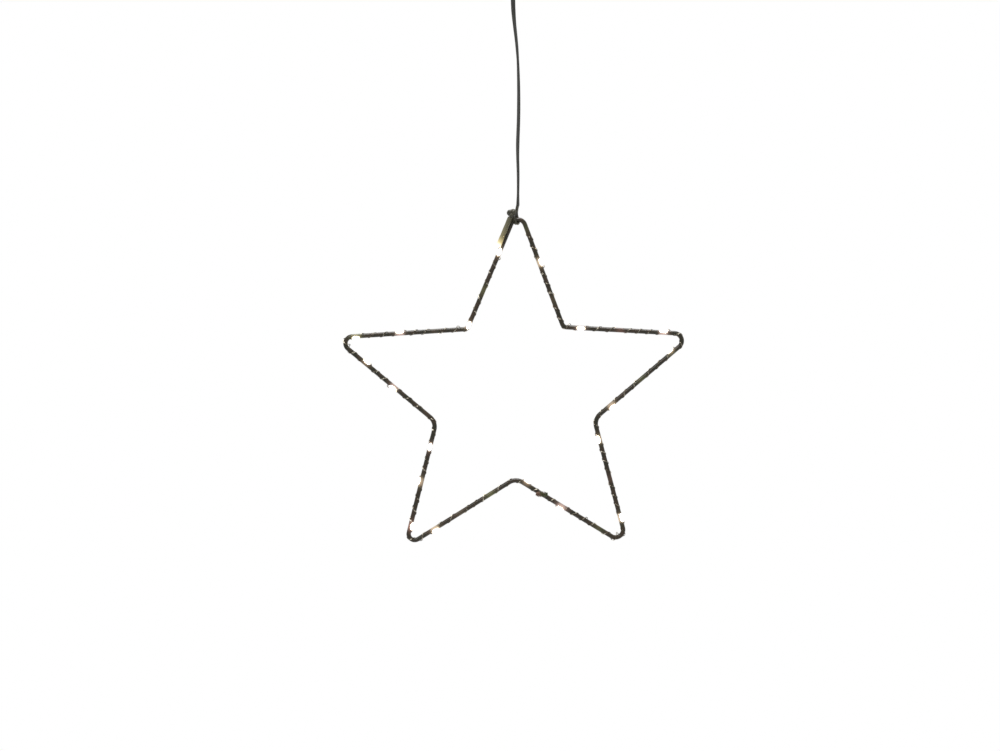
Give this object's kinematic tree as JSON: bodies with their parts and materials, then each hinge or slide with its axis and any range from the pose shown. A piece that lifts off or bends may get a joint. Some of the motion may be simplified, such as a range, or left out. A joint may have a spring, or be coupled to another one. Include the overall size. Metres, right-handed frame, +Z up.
{
  "type": "led christmas star",
  "caption": "Five-pointed wire star wound with a fine string of drop-shaped lights, hanging by its lead from a small battery box with a hanging eye.",
  "frame": {"origin": "middle of the bore of the battery box's hanging eye", "axes": "+Z up along the hanging height, -Y towards the viewer of the star's front, +X to the viewer's right"},
  "size_m": [0.2413, 0.0218, 0.488],
  "materials": {
    "frame_paint": "satin",
    "string_wire": "dark enamel, gloss",
    "drop_resin": "clear, lit",
    "sleeve_plastic": "translucent",
    "solder": "dull",
    "lead_cover": "satin",
    "housing_plastic": "fine grain",
    "cell_wrap": "gloss",
    "contact_metal": "bright",
    "board": "gloss",
    "chip": "matt",
    "switch_metal": "dull",
    "knob_plastic": "matt"
  },
  "bodies": {
    "housing": {"battery_box": "housing_plastic", "cell_left": "cell_wrap", "cell_right": "cell_wrap", "link_contact": "contact_metal", "minus_contact": "contact_metal", "plus_contact": "contact_metal", "circuit_board": "board", "resistor": "chip", "switch_body": "switch_metal", "lead_grommet": "lead_cover", "lead_tail": "lead_cover"},
    "cover": {"battery_cover": "housing_plastic"},
    "knob": {"switch_knob": "knob_plastic"},
    "lead": {"hang_lead": "lead_cover"},
    "star": {"star_frame": "frame_paint", "led_string": "string_wire", "led_drop_01": "drop_resin", "led_drop_02": "drop_resin", "led_drop_03": "drop_resin", "led_drop_04": "drop_resin", "led_drop_05": "drop_resin", "led_drop_06": "drop_resin", "led_drop_07": "drop_resin", "led_drop_08": "drop_resin", "led_drop_09": "drop_resin", "led_drop_10": "drop_resin", "led_drop_11": "drop_resin", "led_drop_12": "drop_resin", "led_drop_13": "drop_resin", "led_drop_14": "drop_resin", "led_drop_15": "drop_resin", "led_drop_16": "drop_resin", "led_drop_17": "drop_resin", "led_drop_18": "drop_resin", "led_drop_19": "drop_resin", "led_drop_20": "drop_resin", "led_drop_21": "drop_resin", "led_drop_22": "drop_resin", "led_drop_23": "drop_resin", "led_drop_24": "drop_resin", "led_drop_25": "drop_resin", "led_drop_26": "drop_resin", "led_drop_27": "drop_resin", "led_drop_28": "drop_resin", "led_drop_29": "drop_resin", "led_drop_30": "drop_resin", "slack_knot": "string_wire", "splice_sleeve": "sleeve_plastic", "solder_splice": "solder", "lead_knot": "lead_cover"}
  },
  "joints": [
    {"name": "cover_slide", "type": "slide", "parent": "housing", "child": "cover", "axis": [0, 0, 1], "range_m": [0, 0.062]},
    {"name": "knob_slide", "type": "slide", "parent": "housing", "child": "knob", "axis": [1, 0, 0], "range_m": [0, 0.004]},
    {"name": "lead_swing", "type": "hinge", "parent": "housing", "child": "lead", "pos_m": [0, 0, -0.084], "axis": [1, 0, 0], "range_deg": [-40, 40]},
    {"name": "star_turn", "type": "hinge", "parent": "lead", "child": "star", "pos_m": [0.0037, 0, -0.245], "axis": [0, 0, 1], "range_deg": [-180, 180], "stiffness_Nm_per_rad": 0.0005}
  ]
}
